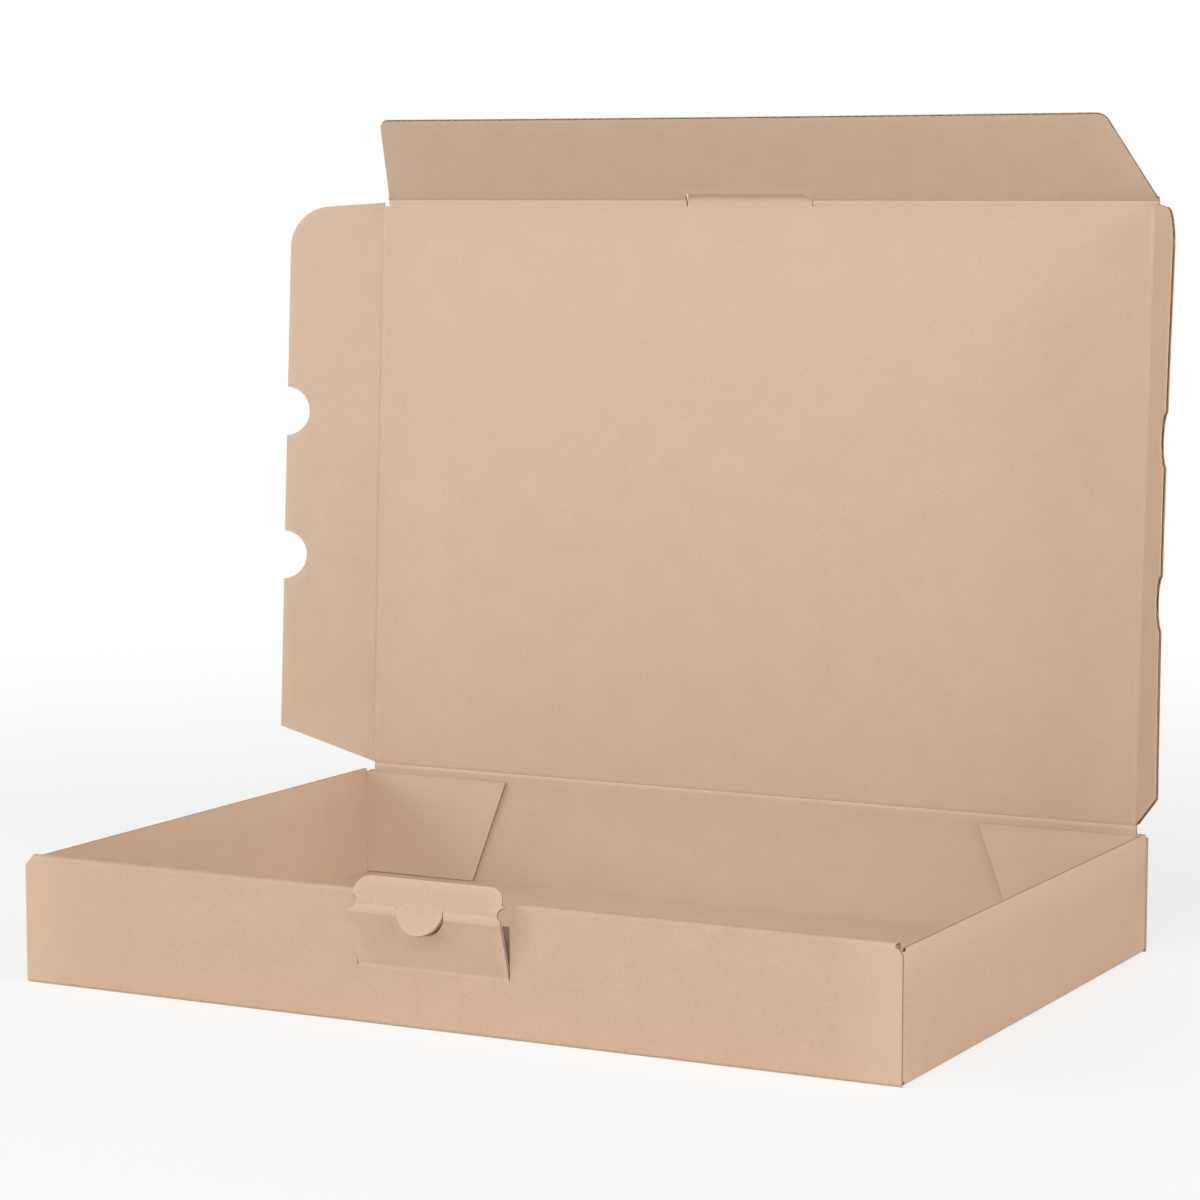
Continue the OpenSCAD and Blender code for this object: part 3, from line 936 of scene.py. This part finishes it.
class MAILER_OT_lock(bpy.types.Operator):
    """Leans the lock panel out of the front wall and turns its tongue with the thumb tab"""
    bl_idname = "mailer.lock"
    bl_label = "Lock panel and tongue"

    def execute(self, context):
        lock, board, tray = context.scene.mailer_lock, context.scene.mailer_board, TrayPanel()
        foot, fold = lock_crease(), tongue_crease()
        reach, half, root = board.lock_reach, lock.wide / 2, board.foot_reach
        top = lock.tall - reach
        hole = lock.thumb + lock.gap
        rise = lock.thumb_rise
        hole_half = (hole ** 2 - (rise + reach) ** 2) ** 0.5
        shift = (foot.origin.x, -(tray.depth + foot.origin.z - tray.t))
        sweep = 2 * atan2(hole_half, rise + reach)
        path = [
            (-half, root), (half, root), (half, top), (-lock.thumb_shift + hole_half, top),
            ((-lock.thumb_shift, lock.tall + rise), -sweep), (-half, top),
        ]
        panel = make_board(
            "lock_board", [path], lambda x, y, z: foot.point(y, x, z), joined=on_lines((), (root, top)),
            across=spots(-half, half, 6 * MM), along=spots(root, top, 5 * MM), shift=shift,
        )
        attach(panel, "lock")
        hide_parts("lock_panel")
        pressed_strip = make_crease("lock_crease", foot, [strip(-half, half, root)], shift, 0.0, board.bead)

        # Tongue, with a round notch at each end of its neck
        tab = (lock.thumb ** 2 - rise ** 2) ** 0.5
        left, right = -lock.thumb_shift - tab, -lock.thumb_shift + tab
        side_l, side_r = lock.shift - half - lock.gap / 2, lock.shift + half + lock.gap / 2
        neck, up = lock.neck, lock.neck - reach
        dent = (neck ** 2 - up ** 2) ** 0.5
        round_up = pi / 2 + asin(up / neck)
        foot_l = neck - (neck ** 2 - (half + side_l) ** 2) ** 0.5
        foot_r = neck - (neck ** 2 - (side_r - half) ** 2) ** 0.5
        swing_l = acos(up / neck) + asin((half + side_l) / neck)
        swing_r = acos(up / neck) - asin((side_r - half) / neck)
        shift = (shift[0], shift[1] - lock.tall)
        clear = lock.gap / 2
        sides = [
            [(-half, -reach), (left - clear, -reach), (left - clear, reach), (side_l + dent, reach),
             ((side_l, neck), -swing_l), (-half, foot_l)],
            [(right + clear, -reach), (half, -reach), (half, foot_r), ((side_r, neck), -swing_r),
             (right + clear, reach)],
        ]
        pressed_strip = make_crease("tongue_crease", fold, sides, shift, 0.0, board.bead)
        path = [
            (side_l + dent, reach), (left, reach), (left, 0),
            ((-lock.thumb_shift, rise), 2 * atan2(tab, rise)), (right, reach), (side_r - dent, reach),
            ((side_r, neck), -round_up), (side_r, lock.tongue, lock.corner_right),
            (side_l, lock.tongue, lock.corner), (side_l, 2 * neck), ((side_l, neck), -round_up),
        ]
        tongue = make_board(
            "tongue_board", [path], lambda x, y, z: fold.point(y, x, z), joined=on_lines((), (reach,)),
            across=spots(-half, half, 6 * MM), along=spots(reach, lock.tongue, 3 * MM), shift=shift,
        )
        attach(tongue, "tongue")
        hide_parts("lock_tongue")
        return {"FINISHED"}


class MAILER_OT_stage(bpy.types.Operator):
    """Sets the pale floor, the white surround, the soft lights and the camera"""
    bl_idname = "mailer.stage"
    bl_label = "Stage"

    def execute(self, context):
        scene = context.scene
        bm = bmesh.new()
        bmesh.ops.create_grid(bm, x_segments=1, y_segments=1, size=4)
        mesh = bpy.data.meshes.new("studio_floor")
        bm.to_mesh(mesh)
        bm.free()
        floor = bpy.data.objects.new("studio_floor", mesh)
        scene.collection.objects.link(floor)
        mesh.materials.append(floor_paper())

        world = bpy.data.worlds.new("white_studio")
        scene.world = world
        world.use_nodes = True
        tree = world.node_tree
        tree.nodes.clear()
        path = add_node(tree, "ShaderNodeLightPath")
        seen = path.outputs["Is Camera Ray"]
        for ray in ("Is Glossy Ray", "Is Transmission Ray"):
            either = add_node(tree, "ShaderNodeMath", {"operation": "MAXIMUM"}, i0=seen, i1=path.outputs[ray])
            seen = either.outputs[0]
        dim = add_node(tree, "ShaderNodeBackground", None, Color=(1, 0.96, 0.92, 1), Strength=0.16)
        white = add_node(tree, "ShaderNodeBackground", None, Color=(1, 1, 1, 1), Strength=1.0)
        both = add_node(tree, "ShaderNodeMixShader", None, i0=seen, i1=dim.outputs[0], i2=white.outputs[0])
        add_node(tree, "ShaderNodeOutputWorld", None, Surface=both.outputs[0])

        for name, spot, size, power in (
            ("front_softbox", (0.6, -2.2, 1.1), 1.6, 18.5),
            ("left_softbox", (-1.8, -1.2, 1.0), 1.4, 20.0),
            ("right_softbox", (2.2, -0.4, 1.0), 1.4, 27.0),
            ("high_softbox", (0.2, -1.5, 2.0), 1.6, 12.0),
            ("back_softbox", (-0.8, 2.2, 1.4), 1.6, 9.0),
        ):
            light = bpy.data.lights.new(name, "AREA")
            light.shape, light.size, light.energy = "SQUARE", size, power
            lamp = bpy.data.objects.new(name, light)
            scene.collection.objects.link(lamp)
            lamp.location = spot
            lamp.rotation_euler = (Vector((0, 0, 0.1)) - Vector(spot)).to_track_quat("-Z", "Y").to_euler()

        # Camera solved from the box's own edges: focal length in picture widths, turn, tilt and roll
        camera = bpy.data.cameras.new("product_camera")
        camera.sensor_width, camera.lens = 36.0, 108.72
        camera.clip_start, camera.clip_end = 0.05, 20
        view = bpy.data.objects.new("product_camera", camera)
        scene.collection.objects.link(view)
        turned, tilted, rolled = 0.4786, 0.1111, 0.0004
        ahead = Vector((-sin(turned) * cos(tilted), cos(turned) * cos(tilted), -sin(tilted)))
        right = Vector((cos(turned), sin(turned), 0))
        up = right.cross(ahead)
        right, up = right * cos(rolled) + up * sin(rolled), up * cos(rolled) - right * sin(rolled)
        view.matrix_world = Matrix.Translation(Vector((0.62118, -1.19597, 0.28978))) @ Matrix(
            (right, up, -ahead)).transposed().to_4x4()
        scene.camera = view
        scene.view_settings.view_transform = "Standard"
        return {"FINISHED"}


def floor_paper():
    """Seamless background paper: matt white with a faint tooth, lit to plain white away from the box."""
    material = bpy.data.materials.new("background_paper")
    material.use_nodes = True
    tree = material.node_tree
    tree.nodes.clear()
    spot = add_node(tree, "ShaderNodeTexCoord").outputs["Object"]
    tooth = add_node(tree, "ShaderNodeTexNoise", None, Vector=spot, Scale=900.0, Detail=2.0)
    bump = add_node(
        tree, "ShaderNodeBump", None, Height=tooth.outputs["Fac"], Strength=0.05, Distance=0.2 * MM,
    ).outputs[0]
    tint = (*bpy.context.scene.mailer_finish.floor, 1)
    shader = add_node(tree, "ShaderNodeBsdfPrincipled", None, Base_Color=tint, Roughness=0.9, Normal=bump)
    white = add_node(tree, "ShaderNodeEmission", None, Color=(1, 1, 1, 1), Strength=1.0)
    away = add_node(tree, "ShaderNodeVectorMath", {"operation": "LENGTH"}, i0=spot).outputs["Value"]
    outside = add_node(
        tree, "ShaderNodeMapRange", {"interpolation_type": "SMOOTHSTEP"}, Value=away, From_Min=0.3,
        From_Max=1.1, To_Min=0.7,
    ).outputs[0]
    seen = add_node(tree, "ShaderNodeLightPath").outputs["Is Camera Ray"]
    amount = add_node(tree, "ShaderNodeMath", {"operation": "MULTIPLY"}, i0=outside, i1=seen).outputs[0]
    both = add_node(tree, "ShaderNodeMixShader", None, i0=amount, i1=shader.outputs[0], i2=white.outputs[0])
    add_node(tree, "ShaderNodeOutputMaterial", None, Surface=both.outputs[0])
    return material


OPERATORS = (
    MAILER_OT_base, MAILER_OT_front_wall, MAILER_OT_back_wall, MAILER_OT_end_walls, MAILER_OT_lid,
    MAILER_OT_side_flaps, MAILER_OT_tuck_flap, MAILER_OT_lock, MAILER_OT_stage,
)


class MAILER_PT_panel(bpy.types.Panel):
    """Sizes, colours and pieces of the mailer box"""
    bl_idname = "MAILER_PT_panel"
    bl_label = "Mailer box"
    bl_space_type = "VIEW_3D"
    bl_region_type = "UI"
    bl_category = "Mailer box"

    def draw(self, context):
        for name, group in GROUPS.items():
            part = self.layout.box()
            part.label(text=group.__doc__)
            for key in group.__annotations__:
                part.prop(getattr(context.scene, name), key)
        for operator in OPERATORS:
            self.layout.operator(operator.bl_idname)


def register():
    for group in GROUPS.values():
        bpy.utils.register_class(group)
    for name, group in GROUPS.items():
        setattr(bpy.types.Scene, name, bpy.props.PointerProperty(type=group))
    for operator in OPERATORS:
        bpy.utils.register_class(operator)
    bpy.utils.register_class(MAILER_PT_panel)


def unregister():
    bpy.utils.unregister_class(MAILER_PT_panel)
    for operator in reversed(OPERATORS):
        bpy.utils.unregister_class(operator)
    for name, group in reversed(GROUPS.items()):
        delattr(bpy.types.Scene, name)
        bpy.utils.unregister_class(group)


def main():
    register()
    for operator in OPERATORS:
        group, name = operator.bl_idname.split(".")
        getattr(getattr(bpy.ops, group), name)()


if __name__ == "__main__":
    main()
